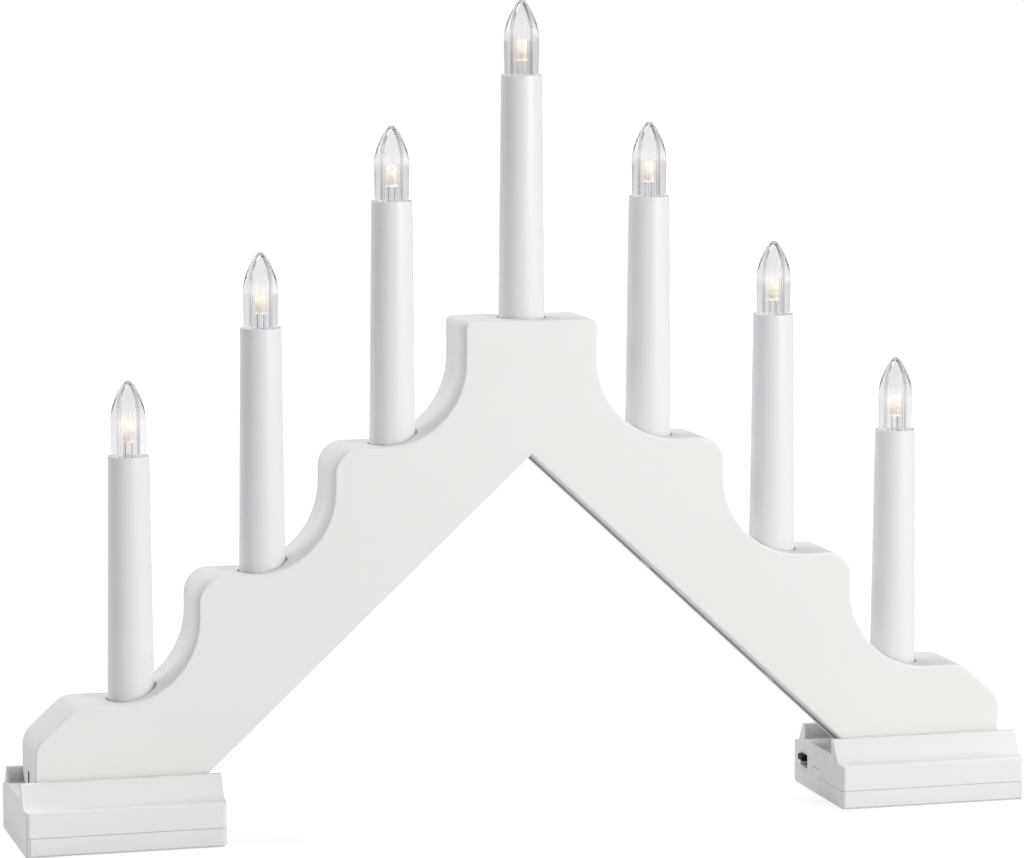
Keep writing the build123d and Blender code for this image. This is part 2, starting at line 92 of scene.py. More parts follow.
# %% Helpers: one node, one sum, one finish
def put(tree, kind, options=None, **sockets):
    """Adds one node. A socket's value is linked if it comes from another node and set if it is plain.
    A socket goes by its name, or by its number after a low line where names repeat."""
    node = tree.nodes.new(kind)
    for option, choice in (options or {}).items():
        setattr(node, option, choice)
    for label, value in sockets.items():
        socket = node.inputs[int(label[1:])] if label[0] == "_" else node.inputs[label.replace("_", " ")]
        if isinstance(value, bpy.types.NodeSocket):
            tree.links.new(value, socket)
        else:
            socket.default_value = value
    return node


def reckon(tree, operation, *values, clamped=False):
    """One Math node: an operation on one, two or three values."""
    sockets = {f"_{place}": value for place, value in enumerate(values)}
    options = {"operation": operation, "use_clamp": clamped}
    return put(tree, "ShaderNodeMath", options, **sockets).outputs[0]


def new_finish(name, **constants):
    """Starts a material with one Principled shader, and returns the tree, the shader and its coordinates."""
    material = bpy.data.materials.new(name)
    material.use_nodes = True
    tree = material.node_tree
    shader = tree.nodes["Principled BSDF"]
    for label, value in constants.items():
        shader.inputs[label.replace("_", " ")].default_value = value
    return material, tree, shader, put(tree, "ShaderNodeTexCoord")


def dress(tree, shader, **patterns):
    """Links each pattern to the shader's socket of that name."""
    for label, pattern in patterns.items():
        tree.links.new(pattern, shader.inputs[label.replace("_", " ")])


print("node helpers ready:", [helper.__name__ for helper in (put, reckon, new_finish, dress)])


# %% Helpers: patterns and mixes
def speckle(tree, where, size, detail=3.0, stretch=None):
    """Noise with features about size metres across, stretched along an axis where asked."""
    if stretch is not None:
        where = put(tree, "ShaderNodeMapping", Vector=where, Scale=stretch).outputs[0]
    return put(tree, "ShaderNodeTexNoise", Vector=where, Scale=1.0 / size, Detail=detail).outputs["Fac"]


def spread(tree, value, low, high, start=0.3, end=0.7):
    """Carries a pattern that runs from start to end over to values from low to high."""
    ranges = {"From_Min": start, "From_Max": end, "To_Min": low, "To_Max": high}
    return put(tree, "ShaderNodeMapRange", {"clamp": True}, Value=value, **ranges).outputs[0]


def between(tree, share, first, second):
    """Mixes two values by a share."""
    return put(tree, "ShaderNodeMix", {"data_type": "FLOAT"}, _0=share, _2=first, _3=second).outputs[0]


def layered(tree, share, under, over):
    """Lays one colour over another by a share."""
    return put(tree, "ShaderNodeMix", {"data_type": "RGBA"}, _0=share, _6=under, _7=over).outputs[2]


def tint(tree, share, first, second):
    """Mixes two plain colours by a share."""
    return layered(tree, share, (*first, 1), (*second, 1))


def relief(tree, height, depth, strength, under=None):
    """Turns a pattern into bumps of that depth in metres, over the bumps of another node where given."""
    bump = put(tree, "ShaderNodeBump", Height=height, Distance=depth, Strength=strength)
    if under is not None:
        tree.links.new(under, bump.inputs["Normal"])
    return bump.outputs[0]


def marked(tree, name):
    """Reads the share that a piece's points carry under a name."""
    return put(tree, "ShaderNodeAttribute", {"attribute_name": name}).outputs["Fac"]


patterns = (speckle, spread, between, layered, tint, relief, marked)
print("pattern helpers ready:", [helper.__name__ for helper in patterns])

# %% [markdown]
# ## White satin paint
# The board is sprayed white. A sprayed coat is never flat: it has a fine orange peel, drifts a little in
# tone and gloss over some centimetres, and on the sawn edges the fibres drink it in, so there it is
# rougher and a shade greyer. The object normal tells edges from faces, so no mask has to be painted. A strip
# under the legs is painted dark grey as the shade that the downward faces lie in. The saw kerf for the wire
# is bare wood, painted darker and greyer than bare wood as the shade inside it. Both are found from the
# normal and from how far across the board a point lies.

# %% Finish: sprayed board, tones of faces and edges
paint, tree, shader, coords = new_finish("sprayed_white", Specular_IOR_Level=0.42)
where = coords.outputs["Object"]
facing = put(tree, "ShaderNodeSeparateXYZ", Vector=coords.outputs["Normal"]).outputs
to_face = reckon(tree, "ABSOLUTE", facing["Y"])
on_face = spread(tree, to_face, 0, 1, 0.55, 0.95)
drift = speckle(tree, where, 70 * MM, 4)
face_tone = tint(tree, drift, (0.838, 0.836, 0.815), (0.868, 0.866, 0.845))
edge_tone = tint(tree, speckle(tree, where, 12 * MM, 5), (0.80, 0.802, 0.803), (0.85, 0.851, 0.85))
sprayed = layered(tree, on_face, edge_tone, face_tone)
print("sprayed tones:", len(tree.nodes), "nodes so far")

# %% Finish: sprayed board, painted shade under the legs and in the kerf
shade_strip_middle = -4.0 * MM
shade_strip_half = 5.8 * MM
kerf_half = 2.0 * MM
down_limit, wall_limit = -0.3, 0.9
across = put(tree, "ShaderNodeSeparateXYZ", Vector=where).outputs["Y"]
downward = reckon(tree, "LESS_THAN", facing["Z"], down_limit)
# Painted shade: down-facing points in a strip under the legs get a dark grey for the shade they lie in.
shaded = reckon(tree, "MULTIPLY", reckon(tree, "COMPARE", across, shade_strip_middle, shade_strip_half), downward)
underside_shade = tint(tree, speckle(tree, where, 8 * MM, 4), (0.34, 0.335, 0.335), (0.40, 0.395, 0.395))
kerf_wall = reckon(tree, "GREATER_THAN", to_face, wall_limit)
in_kerf = reckon(tree, "COMPARE", across, 0.0, kerf_half)
sawn = reckon(tree, "MULTIPLY", in_kerf, reckon(tree, "MAXIMUM", kerf_wall, downward))
# Bare sawn wood in the kerf, painted darker and greyer than bare wood as the shade inside the narrow kerf.
bare_wood_and_shade = tint(tree, speckle(tree, where, 1.5 * MM, 4), (0.13, 0.115, 0.10), (0.22, 0.195, 0.17))
coat = layered(tree, sawn, layered(tree, shaded, sprayed, underside_shade), bare_wood_and_shade)
print("kerf and thin coat:", len(tree.nodes), "nodes so far")

# %% Finish: sprayed board, gloss and relief
gloss = reckon(tree, "ADD", spread(tree, drift, 0.36, 0.46), spread(tree, on_face, 0.14, 0.0, 0, 1))
fibres = relief(tree, speckle(tree, where, 1.1 * MM, 4, (1, 0.35, 1)), 0.12 * MM, 0.16)
peel = relief(tree, speckle(tree, where, 2.2 * MM, 2), 0.10 * MM, 0.10, fibres)
dress(tree, shader, Base_Color=coat, Roughness=gloss, Normal=peel)
print("finish:", paint.name, len(tree.nodes), "nodes")

# %% [markdown]
# ## Tube plastic and box plastic
# The tubes are drawn from glossy-white polypropylene, with the faintest lines along their length. The
# boxes are moulded in a spark-eroded steel mould, so their skin is a fine even grain and hardly shines.
# Both are a bump and a roughness pattern over one pale colour, at the true size of the grain. Light soaks
# through the thin tube wall round the cap's foot. Scattering inside the wall would show that slowly, so an
# attribute on the tube's points marks the place instead, and the finish glows a little there.

# %% Finish: drawn tube
tube_white, tree, shader, coords = new_finish("drawn_tube_white", Emission_Color=(0.95, 0.95, 0.98, 1))
where = coords.outputs["Object"]
tone = tint(tree, speckle(tree, where, 20 * MM, 3), (0.815, 0.823, 0.84), (0.84, 0.848, 0.865))
gloss = spread(tree, speckle(tree, where, 6 * MM, 3, (1, 1, 0.2)), 0.30, 0.38)
lines = relief(tree, speckle(tree, where, 0.9 * MM, 2, (1, 1, 0.02)), 0.03 * MM, 0.12)
soaking = spread(tree, marked(tree, "inside_share"), 0.0, 0.42, 0, 1)
dress(tree, shader, Base_Color=tone, Roughness=gloss, Normal=lines, Emission_Strength=soaking)
print("finish:", tube_white.name, len(tree.nodes), "nodes")

# %% Finish: spark-grained box
box_white, tree, shader, coords = new_finish("spark_grained_white", Specular_IOR_Level=0.38)
where = coords.outputs["Object"]
grain = speckle(tree, where, 0.45 * MM, 3)
tone = tint(tree, speckle(tree, where, 30 * MM, 4), (0.835, 0.835, 0.82), (0.865, 0.865, 0.85))
gloss = spread(tree, grain, 0.50, 0.62)
dress(tree, shader, Base_Color=tone, Roughness=gloss, Normal=relief(tree, grain, 0.06 * MM, 0.22))
print("finish:", box_white.name, len(tree.nodes), "nodes")

# %% [markdown]
# ## Clear caps and warm light
# The caps are polished clear acrylic. A Glass shader would bend the light, but a Principled one with full
# transmission and the right index also takes a tint and a glow. Its mirror is tinted down, so that no lamp
# stands as a white patch on a cap. The bore is moulded finer than it is polished: it is a little matt and
# reflects less, and it is painted with a warm glow as a halo of the LED's light, so attributes on the cap's
# points mark the bore and the halo. The LED's lens is cream-white and cloudy, brightest in its dome and
# dimmer where the lead frame shades it.

# %% Finish: clear acrylic
halo_warm = (1.0, 0.75, 0.58, 1)
clear, tree, shader, coords = new_finish(
    "clear_acrylic", Transmission_Weight=1.0, IOR=1.49, Emission_Color=halo_warm
)
where = coords.outputs["Object"]
on_bore = marked(tree, "bore_share")
tone = tint(tree, speckle(tree, where, 8 * MM, 2), (0.955, 0.952, 0.97), (0.975, 0.972, 0.988))
polish = spread(tree, speckle(tree, where, 4 * MM, 3), 0.012, 0.03)
bore_roughness = 0.06
matt_bore = reckon(tree, "MULTIPLY_ADD", on_bore, bore_roughness, polish)
mirror = tint(tree, on_bore, (0.2, 0.2, 0.22), (0.10, 0.10, 0.13))
# Painted light: a warm glow on the bore, as the LED's halo in the plastic.
halo_light = spread(tree, marked(tree, "halo_share"), 0.0, 0.10, 0, 1)
waves = relief(tree, speckle(tree, where, 3.5 * MM, 2, (1, 1, 0.5)), 0.06 * MM, 0.08)
dress(tree, shader, Base_Color=tone, Roughness=matt_bore, Specular_Tint=mirror)
dress(tree, shader, Emission_Strength=halo_light, Normal=waves)
print("finish:", clear.name, len(tree.nodes), "nodes")

# %% Finish: LED lens
glow, tree, shader, coords = new_finish("warm_led_lens", Roughness=0.25, Emission_Strength=1.0)
cloud = speckle(tree, coords.outputs["Object"], 1.6 * MM, 2)
warmth = reckon(tree, "MULTIPLY", marked(tree, "lit_share"), spread(tree, cloud, 0.62, 1.0))
light = tint(tree, warmth, (0.20, 0.175, 0.15), (1.0, 0.92, 0.82))
resin = tint(tree, cloud, (0.30, 0.27, 0.23), (0.42, 0.38, 0.33))
dress(tree, shader, Emission_Color=light, Base_Color=resin)
print("finish:", glow.name, len(tree.nodes), "nodes")

# %% [markdown]
# ## Small fittings
# The knob is black moulded plastic in a dull tin switch case, the contacts, leads and screws are plated steel
# with rolling marks, the timer board is green with a pale track pattern, and the cells have plain sleeves
# with bare ends. The LED holder is pale and is painted with a faint glow as the LED's light that it passes
# on, which the cap's tip mirrors.
# All are seen in the window, under an open door or through a cap, so each gets its own grain. They could be
# seven trees, but most differ only in numbers, so one function makes those.

# %% Helper and finishes: knob, switch case, plated steel
def grained(name, dark, light, size, rough, depth, stretch=None, **constants):
    """A two-tone finish with one noise pattern in its colour, roughness and relief."""
    material, tree, shader, coords = new_finish(name, **constants)
    pattern = speckle(tree, coords.outputs["Object"], size, 4, stretch)
    dress(tree, shader, Base_Color=tint(tree, pattern, dark, light), Roughness=spread(tree, pattern, *rough))
    dress(tree, shader, Normal=relief(tree, pattern, depth, strength=0.25))
    return material


black = grained(
    "black_knob_plastic", (0.004, 0.004, 0.004), (0.010, 0.010, 0.010),
    size=0.5 * MM, rough=(0.35, 0.5), depth=0.04 * MM, Specular_IOR_Level=0.12,
)
switch_tin = grained(
    "switch_case_tin", (0.74, 0.67, 0.63), (0.84, 0.77, 0.73),
    size=0.7 * MM, rough=(0.45, 0.6), depth=0.04 * MM,
)
plated = grained(
    "plated_steel", (0.52, 0.51, 0.49), (0.68, 0.67, 0.64),
    size=0.6 * MM, rough=(0.22, 0.42), depth=0.01 * MM, stretch=(1, 0.15, 1), Metallic=1.0,
)
print("finishes:", [finish.name for finish in (black, switch_tin, plated)])

# %% Finishes: LED holder, wire cover, timer board
# Painted light: the holder gets a faint white glow, as the LED's light that it passes on.
holder_white_glow = grained(
    "holder_white_glow", (0.70, 0.70, 0.68), (0.77, 0.77, 0.75),
    size=1.0 * MM, rough=(0.45, 0.6), depth=0.03 * MM,
    Emission_Color=(0.97, 0.96, 1.0, 1), Emission_Strength=0.30,
)
wire_white = grained(
    "wire_cover_white", (0.72, 0.72, 0.70), (0.80, 0.80, 0.78),
    size=2.0 * MM, rough=(0.38, 0.5), depth=0.03 * MM,
)
board_green = grained(
    "timer_board_green", (0.012, 0.10, 0.035), (0.03, 0.19, 0.07),
    size=1.2 * MM, rough=(0.3, 0.5), depth=0.04 * MM, stretch=(1, 4, 0.6),
)
print("finishes:", [finish.name for finish in (holder_white_glow, wire_white, board_green)])

# %% Finish: cell sleeves with bare ends
sleeve, tree, shader, coords = new_finish("plain_cell_sleeve")
end_way = put(tree, "ShaderNodeSeparateXYZ", Vector=coords.outputs["Normal"]).outputs["X"]
bare_end = spread(tree, reckon(tree, "ABSOLUTE", end_way), 0, 1, 0.6, 0.8)
scuff = speckle(tree, coords.outputs["Object"], 3 * MM, 4, (0.2, 1, 1))
wrap = tint(tree, scuff, (0.045, 0.10, 0.19), (0.07, 0.14, 0.25))
tone = layered(tree, bare_end, wrap, (0.60, 0.60, 0.58, 1))
dress(tree, shader, Base_Color=tone, Metallic=bare_end, Roughness=spread(tree, scuff, 0.24, 0.36))
print("finish:", sleeve.name, len(tree.nodes), "nodes")

# %% [markdown]
# ## Turned shapes
# Tubes, caps and LEDs are all turned about their own axis, as on a lathe. Blender's Screw modifier could
# spin a profile, but a grid of numbers is surer: rows follow the profile, columns go round, and every point
# comes out of one array sum. A profile that meets the axis ends in a single point, so its poles are closed.

# %% Helper: profile with rounded corners
def rounded_profile(corners, radii, steps):
    """Rolls a circle into each corner of a closed profile. Each arc turns evenly from one tangent point's
    direction to the other's: sin((1-t)w)/sin(w) of the first plus sin(tw)/sin(w) of the second."""
    radii = radii[:, None]
    back = np.roll(corners, 1, 0) - corners
    forth = np.roll(corners, -1, 0) - corners
    back /= np.linalg.norm(back, axis=1, keepdims=True)
    forth /= np.linalg.norm(forth, axis=1, keepdims=True)
    half = np.arccos(np.clip((back * forth).sum(1, keepdims=True), -1, 1)) / 2
    middle = (back + forth) / np.linalg.norm(back + forth, axis=1, keepdims=True)
    centre = corners + middle * radii / np.sin(half)
    first = corners + back * radii / np.tan(half) - centre
    last = corners + forth * radii / np.tan(half) - centre
    t = np.linspace(0, 1, steps)[None, :, None]
    sweep = (math.pi - 2 * half)[:, :, None]
    arc = (np.sin((1 - t) * sweep) * first[:, None] + np.sin(t * sweep) * last[:, None]) / np.sin(sweep)
    return (centre[:, None] + arc).reshape(-1, 2)


sample_square = np.array([(0.0, 0.0), (4.0, 0.0), (4.0, 4.0), (0.0, 4.0)])
print("a rounded square has", len(rounded_profile(sample_square, np.ones(4), 5)), "points")


# %% Helpers: turned grid and its faces
def turned(radius, height, centre, columns):
    """Turns a profile: x = r cos(a), y = r sin(a), z = h, with r and h one per row or one per point."""
    angle = np.linspace(0, 2 * math.pi, columns, endpoint=False)[None, :]
    radius = np.broadcast_to(radius.reshape(len(radius), -1), (len(radius), columns))
    height = np.broadcast_to(height.reshape(len(height), -1), (len(height), columns))
    points = np.stack((radius * np.cos(angle), radius * np.sin(angle), height), -1)
    return points * MM + np.asarray(centre) * MM


def grid_faces(rows, columns, looped):
    """Joins each grid point to its neighbour in the next row and column, and the last column to the first.
    A looped grid also joins its last row to its first."""
    row = np.arange(rows if looped else rows - 1)[:, None]
    column = np.arange(columns)[None, :]
    down, beside = (row + 1) % rows, (column + 1) % columns
    here, below = row * columns, down * columns
    corners = (here + column, below + column, below + beside, here + beside)
    return np.stack(np.broadcast_arrays(*corners), -1).reshape(-1, 4)


sample_grid = turned(np.array([1.0, 2.0]), np.array([0.0, 1.0]), (0, 0, 0), 8)
print("a sample grid is", sample_grid.shape, "with", len(grid_faces(2, 8, looped=False)), "faces")


# %% Helpers: pieces on the arch
def new_piece(name, spots, faces, material, slot):
    """Puts points and faces into a mesh with one finish. Its piece rides on the arch."""
    mesh = bpy.data.meshes.new(name)
    mesh.from_pydata(spots.tolist(), [], faces)
    mesh.materials.append(material)
    piece = bpy.data.objects.new(name, mesh)
    bpy.context.scene.collection.objects.link(piece)
    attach(piece, "arch")
    return piece


def lathe_piece(name, points, poles, material, replaced, slot):
    """Makes the piece of a turned grid. With poles, its first and last rows close in a point each, and
    without them the rows close in a ring. Edges sharper than 40 degrees stay sharp."""
    rows, columns = points.shape[:2]
    spots = points.reshape(-1, 3)
    faces = grid_faces(rows, columns, looped=poles is None).tolist()
    if poles is not None:
        spots = np.vstack((spots, np.asarray(poles) * MM))
        column = np.arange(columns)
        beside = (column + 1) % columns
        end = (rows - 1) * columns
        faces += np.stack((np.full(columns, rows * columns), column, beside), 1).tolist()
        faces += np.stack((end + column, np.full(columns, rows * columns + 1), end + beside), 1).tolist()
    piece = new_piece(name, spots, faces, material, slot)
    piece.data.polygons.foreach_set("use_smooth", np.ones(len(faces), bool))
    piece.data.set_sharp_from_angle(angle=math.radians(40))
    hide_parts(replaced)
    return piece


def mark_points(piece, name, shares):
    """Writes one share per point of a piece, for its finish to read."""
    layer = piece.data.attributes.new(name, "FLOAT", "POINT")
    layer.data.foreach_set("value", shares.astype(np.float32))


print("piece helpers ready:", [helper.__name__ for helper in (new_piece, lathe_piece, mark_points)])

# %% [markdown]
# ## Candle tubes
# Each candle is a thin white tube, straight in its bore and slightly tapered above it, with a softly
# rounded rim and a ledge inside that carries the LED holder. A Bevel modifier on a copy of the CAD tube could
# soften the rim, but it works best on clean rows of faces, and that copy is all triangles. Instead one
# closed profile, outside down and inside up, is rolled round at its corners and turned. All seven are the
# same, and the imported model says where they stand.

# %% Where the candles stand
tube_rise = 96.7
tube_depth = 22.0
candle_numbers = range(1, 8)
tube_boxes = [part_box(f"candle_tube_{number}") for number in candle_numbers]
# The imported model's numbers carry single-precision noise, and a cap's foot shares a plane with its LED
# holder, so they are rounded back to tenths of a millimetre.
candle_x = (np.array([(low.x + high.x) / 2 for low, high in tube_boxes]) / MM).round(1)
tread_z = (np.array([low.z for low, high in tube_boxes]) / MM).round(1) + tube_depth
rim_z = tread_z + tube_rise
print("candles at x:", candle_x.tolist(), "treads at z:", tread_z.tolist(), "rims at z:", rim_z.tolist())

# %% Candle tubes
rim_radius = 8.2
foot_radius = 9.25
foot_inside = 8.05
neck_inside = 7.24
socket_radius = 6.9
ledge_hole = 5.5
ledge_low, ledge_top = 85.5, 87.5
soaked_radius, soaked_low = 7.1, 85.0
tube_columns = 112
tube_outline = np.array([
    (rim_radius, tube_rise), (foot_radius, 0), (foot_radius, -tube_depth), (foot_inside, -tube_depth),
    (foot_inside, 0), (neck_inside, ledge_low), (ledge_hole, ledge_low), (ledge_hole, ledge_top),
    (socket_radius, ledge_top), (socket_radius, tube_rise),
])
tube_rounds = np.array([0.5, 2.0, 0.4, 0.3, 2.0, 0.2, 0.2, 0.2, 0.2, 0.25])
tube_r, tube_z = rounded_profile(tube_outline, tube_rounds, steps=7).T
soaked = (tube_r < soaked_radius) & (tube_z > soaked_low)
for number, x, tread in zip(candle_numbers, candle_x, tread_z):
    grid = turned(tube_r, tube_z, (x, 0, tread), tube_columns)
    name, node = f"candle_shell_{number}", f"candle_tube_{number}"
    tube = lathe_piece(name, grid, None, tube_white, node, "candle_plastic")
    mark_points(tube, "inside_share", np.repeat(soaked, tube_columns))
print("tubes:", len(candle_x), "with", len(tube.data.polygons), "faces each")

# %% [markdown]
# ## Flame caps
# A cap is a thick clear bell. Outside it swells a little from its neck and closes in an ogive, an arc that
# runs into a blunt round tip. Inside is only a narrow pointed bore for the LED, so the thick wall bends the
# light and draws lines along the bore. Fine flutes run up the bore's straight wall. They could be cut with a
# Boolean, but a flute is a round cutter stood in that wall, so the radius is simply the larger of the bore's
# and the cutter's. Both walls are one profile from pole to pole, which gives the clear plastic its true
# thickness.

# %% Helpers: ogive and flutes
def ogive(half_width, base, top, tip, steps):
    """An arc that leaves the wall upright and runs into a round tip: r = R cos(a) - (R - w), z = base +
    R sin(a), up to the angle at which the tip's circle of its own radius takes over."""
    rise = top - base
    bend = (half_width**2 + rise**2 - 2 * rise * tip) / (2 * (half_width - tip))
    meet = math.atan2(rise - tip, bend - half_width)
    side = np.linspace(0, meet, steps)
    point = np.linspace(meet, math.pi / 2, steps // 3)[1:-1]
    radius = np.concatenate((bend * np.cos(side) - (bend - half_width), tip * np.cos(point)))
    height = np.concatenate((base + bend * np.sin(side), top - tip + tip * np.sin(point)))
    return radius, height


def flute_reach(columns, flutes, bore, cutter, share):
    """How far flutes reach from the axis in each column. At the angle a off a flute's middle, the far side of
    its cutter lies at b cos(a) + sqrt(c squared - (b sin(a)) squared), and a share of that depth is cut."""
    pitch = columns // flutes
    off_middle = (np.arange(columns) % pitch - pitch / 2) * 2 * math.pi / columns
    beside = bore * np.sin(off_middle)
    far_side = bore * np.cos(off_middle) + np.sqrt(np.clip(cutter**2 - beside**2, 0, None))
    return np.where(np.abs(beside) < cutter, bore + share * (far_side - bore), 0)


sample_flutes = flute_reach(columns=120, flutes=6, bore=2.0, cutter=0.5, share=1.0)
print("a sample flute reaches", round(float(sample_flutes.max()), 2), "from the axis")

# %% Flame caps: profile from the tip down outside and up inside
cap_rise, cap_shoulder = 29.6, 12.9
cap_radius, cap_tip = 7.0, 2.0
neck_radius = 6.75
plug_depth, plug_chamfer = 6.0, 0.2
bore_radius, bore_tip = 3.0, 0.8
bore_shoulder, bore_top = 18.5, 27.8
row_gap = 0.3
neck_rows, wall_rows = 14, 22
outer_r, outer_z = ogive(cap_radius, cap_shoulder, cap_rise, cap_tip, steps=40)
inner_r, inner_z = ogive(bore_radius, bore_shoulder, bore_top, bore_tip, steps=30)
neck_r = np.linspace(cap_radius, neck_radius, neck_rows)[1:]
neck_z = np.linspace(cap_shoulder, 0, neck_rows)[1:]
plug_r, plug_z = np.array([
    (neck_radius, -row_gap), (neck_radius, plug_chamfer - plug_depth),
    (neck_radius - plug_chamfer, -plug_depth), (bore_radius + plug_chamfer, -plug_depth),
    (bore_radius, plug_chamfer - plug_depth),
]).T
wall_z = np.linspace(2 * plug_chamfer - plug_depth, bore_shoulder - row_gap, wall_rows)
wall_r = np.full(wall_rows, bore_radius)
cap_r = np.concatenate((outer_r[::-1], neck_r, plug_r, wall_r, inner_r))[:, None]
cap_z = np.concatenate((outer_z[::-1], neck_z, plug_z, wall_z, inner_z))
print("cap profile:", len(cap_z), "rows from", cap_z.min(), "to", round(float(cap_z.max()), 1), "mm")

# %% Flame caps: flutes, halo and pieces
cap_columns, flutes = 240, 12
flute_radius, flute_share, flute_top = 0.3, 0.5, 18.6
halo_height, halo_reach = 12.5, 4.0
bore_rows = np.arange(len(cap_z)) >= len(cap_z) - len(wall_z) - len(inner_z)
halo_rows = bore_rows * np.exp(-((cap_z - halo_height) / halo_reach)**2)
fluted_rows = (bore_rows & (cap_z < flute_top))[:, None]
flute_r = flute_reach(cap_columns, flutes, bore_radius, flute_radius, flute_share)[None, :]
fluted_r = np.where(fluted_rows, np.maximum(cap_r, flute_r), cap_r)
for number, x, rim in zip(candle_numbers, candle_x, rim_z):
    grid = turned(fluted_r, cap_z, (x, 0, rim), cap_columns)
    poles = [(x, 0, rim + cap_rise), (x, 0, rim + bore_top)]
    name, node = f"flame_bell_{number}", f"flame_cap_{number}"
    cap = lathe_piece(name, grid, poles, clear, node, "clear_plastic")
    mark_points(cap, "bore_share", np.append(np.repeat(bore_rows, cap_columns), (0, 1)))
    mark_points(cap, "halo_share", np.append(np.repeat(halo_rows, cap_columns), (0, 0)))
flute_depth = round(float((fluted_r - cap_r).max()), 2)
print("caps:", len(candle_x), "with", len(cap.data.polygons), "faces each, flutes", flute_depth, "mm deep")

# %% [markdown]
# ## LEDs
# In each bore stands a small LED: a domed lens on a thin flange, and two square leads. The lens is turned
# from pole to pole. An even glow would make it a flat white spot, so an attribute on its points says how
# brightly each height is lit: most in the dome and along the flange, less where the lead frame shades it.
# The lens finish reads that. The leads are plain bars.

# %% LED lens profile and its light
lens_radius, dome_base = 2.2, 6.4
flange_radius, flange_top, flange_edge = 2.5, 1.0, 0.1
dome_rows = 16
dome = np.linspace(math.pi / 2, 0, dome_rows)[1:]
stem_r, stem_z = np.array([
    (lens_radius, 4.0), (lens_radius, flange_top + 0.15), (lens_radius + 0.05, flange_top),
    (flange_radius - flange_edge, flange_top), (flange_radius, flange_top - flange_edge),
    (flange_radius, flange_edge), (flange_radius - flange_edge, 0.0), (1.2, 0.0),
]).T
lens_r = np.concatenate((lens_radius * np.cos(dome), stem_r))
lens_z = np.concatenate((dome_base + lens_radius * np.sin(dome), stem_z))
shade_top, dome_gain = 2.4, 0.42
flange_light, shade_light = 1.6, 0.12
lit_rows = np.clip(np.maximum((lens_z - shade_top) * dome_gain, flange_light - lens_z), shade_light, 1)
print("lens rows:", len(lens_z), "lit from", lit_rows.min(), "to", lit_rows.max())


# %% LED lenses and leads
def lead_bars(centre, side, spacing, low, high):
    """Two upright square bars: the corners of a unit square, scaled, shifted by half the spacing each way."""
    square = np.array([(-1, -1), (1, -1), (1, 1), (-1, 1)]) * side / 2
    shift = np.array([(-spacing / 2, 0), (spacing / 2, 0)])
    flat = (shift[:, None, None] + square[None, None]).repeat(2, axis=1)
    level = np.broadcast_to(np.array([low, high])[None, :, None, None], (2, 2, 4, 1))
    points = np.concatenate((flat, level), -1).reshape(-1, 3) * MM + np.asarray(centre) * MM
    sides = np.array([(0, 1, 5, 4), (1, 2, 6, 5), (2, 3, 7, 6), (3, 0, 4, 7), (3, 2, 1, 0), (4, 5, 6, 7)])
    return points, np.concatenate((sides, sides + 8))


led_lift = 5.5
lead_side, lead_spacing, lead_length = 0.5, 2.54, 14.7
lens_columns = 64
for number, x, flange in zip(candle_numbers, candle_x, rim_z + led_lift):
    grid = turned(lens_r, lens_z, (x, 0, flange), lens_columns)
    poles = [(x, 0, flange + dome_base + lens_radius), (x, 0, flange)]
    led = lathe_piece(f"led_lens_{number}", grid, poles, glow, f"led_{number}", "led_lens")
    mark_points(led, "lit_share", np.append(np.repeat(lit_rows, lens_columns), (1, 1)))
    bars, bar_faces = lead_bars((x, 0, flange), lead_side, lead_spacing, -lead_length, 0.0)
    new_piece(f"led_leads_{number}", bars, bar_faces.tolist(), plated, "contact_metal")
print("LEDs:", len(candle_x), "with", len(led.data.polygons), "lens faces each")

# %% [markdown]
# ## Parts that keep their CAD shape
# The board, the boxes, their doors and the fittings inside are right as the CAD model gives them. Their
# meshes carry the normals of the true surfaces, so flats stay flat and rounded edges roll smoothly without a
# modifier. Nothing is copied or changed: each node only takes its finish in its material slot.

# %% Finishes for the nodes that stay
kept = {"arch_board": paint, "wire_harness": wire_white, "battery_leads": wire_white}
kept.update({"switch_knob": black, "switch_body": switch_tin, "timer_board": board_green})
for side in ("left", "right"):
    kept.update({f"battery_housing_{side}": box_white, f"battery_door_{side}": box_white})
    kept.update({f"battery_cells_{side}": sleeve})
    kept.update({f"contact_strips_{side}": plated, f"foot_screws_{side}": plated})
kept.update({f"led_holder_{number}": holder_white_glow for number in candle_numbers})
for node, material in kept.items():
    for material_slot in nodes[node].material_slots:
        material_slot.material = material
print("nodes that stay:", len(kept))

# %% [markdown]
# ## Floor and world
# The arch stands in soft studio light on white. A floor lit to pure white would flood the object with light,
# so floor and world are white to the camera alone, through Light Path. Clear plastic shows only by what it
# bends into view, so it sees them greyer, under a dark ceiling, and darker still by light that was mirrored
# inside it, which draws the dark lines along the bores. The floor lies a hair below the boxes, so that the
# two don't share a plane, and it can be seen through from below, so that the doors can be looked at.

# %% Floor
floor_half = 6.0
floor_drop = 0.3 * MM
unit_square = np.array([(-1, -1), (1, -1), (1, 1), (-1, 1)])
floor_corners = [(x, y, -floor_drop) for x, y in (unit_square * floor_half).tolist()]
floor_mesh = bpy.data.meshes.new("floor")
floor_mesh.from_pydata(floor_corners, [], [(0, 1, 2, 3)])
floor = bpy.data.objects.new("floor", floor_mesh)
bpy.context.scene.collection.objects.link(floor)
print("floor", [round(v, 2) for v in floor.dimensions])


# %% Finish: floor
def mirror_dimming(tree, path):
    """Dims what is seen through clear plastic by light that was mirrored inside it."""
    mirrored = reckon(tree, "MULTIPLY", path["Is Transmission Ray"], path["Glossy Depth"], clamped=True)
    return spread(tree, mirrored, low=1.0, high=0.55, start=0, end=1)


